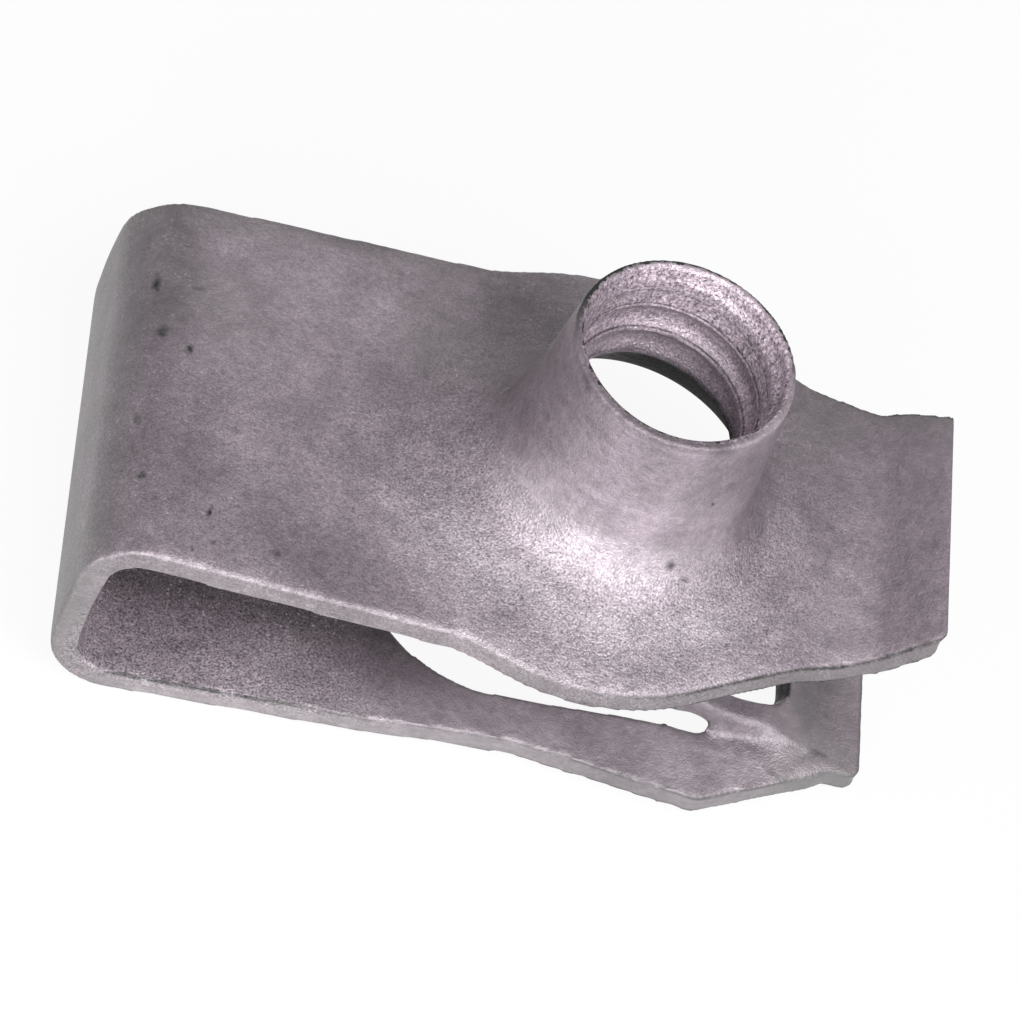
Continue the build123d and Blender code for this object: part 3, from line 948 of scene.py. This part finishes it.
lamps = {
    # name: place, size in metres, power in watts
    "frontLamp": ((-0.055, -0.270, 0.055), 0.22, 0.95),
    "leftLamp": ((-0.185, -0.128, 0.166), 0.20, 0.20),
    "rightLamp": ((0.200, -0.169, 0.093), 0.20, 0.20),
    "highLamp": ((0.078, -0.139, 0.226), 0.20, 0.56),
}


def cameraOnly(nodes, links):
    # 1 for what the camera and mirror-like surfaces see, 0 for soft light
    path = nodes.new("ShaderNodeLightPath")
    total = path.outputs["Is Camera Ray"]
    for name in ("Is Glossy Ray", "Is Transmission Ray"):
        node = nodes.new("ShaderNodeMath")
        node.operation = "MAXIMUM"
        links.new(total, node.inputs[0])
        links.new(path.outputs[name], node.inputs[1])
        total = node.outputs[0]
    return total


def buildStudio():
    s = studio
    bpy.ops.mesh.primitive_plane_add(size=2 * s["floorHalf"], location=(0, 0, cadLow.z - 0.00002))
    floor = bpy.context.object
    floor.name = "floor"
    material = bpy.data.materials.new("paleFloor")
    material.use_nodes = True
    nodes, links = material.node_tree.nodes, material.node_tree.links
    shader = nodes["Principled BSDF"]
    shader.inputs["Base Color"].default_value = (0.9, 0.9, 0.9, 1)
    shader.inputs["Roughness"].default_value = 0.9
    shader.inputs["Specular IOR Level"].default_value = 0.0
    glow = nodes.new("ShaderNodeEmission")
    glow.inputs["Strength"].default_value = 1.0
    mix = nodes.new("ShaderNodeMixShader")
    share = nodes.new("ShaderNodeMath")
    share.operation = "MULTIPLY"
    share.inputs[1].default_value = s["floorWhite"]
    links.new(cameraOnly(nodes, links), share.inputs[0])
    links.new(share.outputs[0], mix.inputs[0])
    links.new(shader.outputs[0], mix.inputs[1])
    links.new(glow.outputs[0], mix.inputs[2])
    links.new(mix.outputs[0], nodes["Material Output"].inputs["Surface"])
    floor.data.materials.append(material)

    world = bpy.data.worlds.new("studio")
    bpy.context.scene.world = world
    world.use_nodes = True
    nodes, links = world.node_tree.nodes, world.node_tree.links
    background = nodes["Background"]
    background.inputs["Color"].default_value = (1, 1, 1, 1)
    strength = nodes.new("ShaderNodeMapRange")
    strength.inputs["To Min"].default_value = s["ambient"]
    strength.inputs["To Max"].default_value = 1.0
    links.new(cameraOnly(nodes, links), strength.inputs["Value"])
    links.new(strength.outputs["Result"], background.inputs["Strength"])

    target = Vector((-0.002, 0, -0.003))
    for name, (place, size, power) in lamps.items():
        light = bpy.data.lights.new(name, "AREA")
        light.shape = "DISK"
        light.size = size
        light.energy = power
        lamp = bpy.data.objects.new(name, light)
        lamp.location = place
        lamp.rotation_euler = (target - lamp.location).to_track_quat("-Z", "Y").to_euler()
        bpy.context.scene.collection.objects.link(lamp)

    camera = bpy.data.objects.new("camera", bpy.data.cameras.new("camera"))
    camera.data.lens = s["lens"]
    camera.data.sensor_width = 36
    camera.data.clip_start = 0.01
    camera.data.clip_end = 10
    camera.location = s["cameraAt"]
    camera.rotation_euler = [math.radians(a) for a in s["cameraTurn"]]
    bpy.context.scene.collection.objects.link(camera)
    bpy.context.scene.camera = camera


buildStudio()
bpy.context.scene.view_settings.view_transform = "Standard"
print("studio ready")
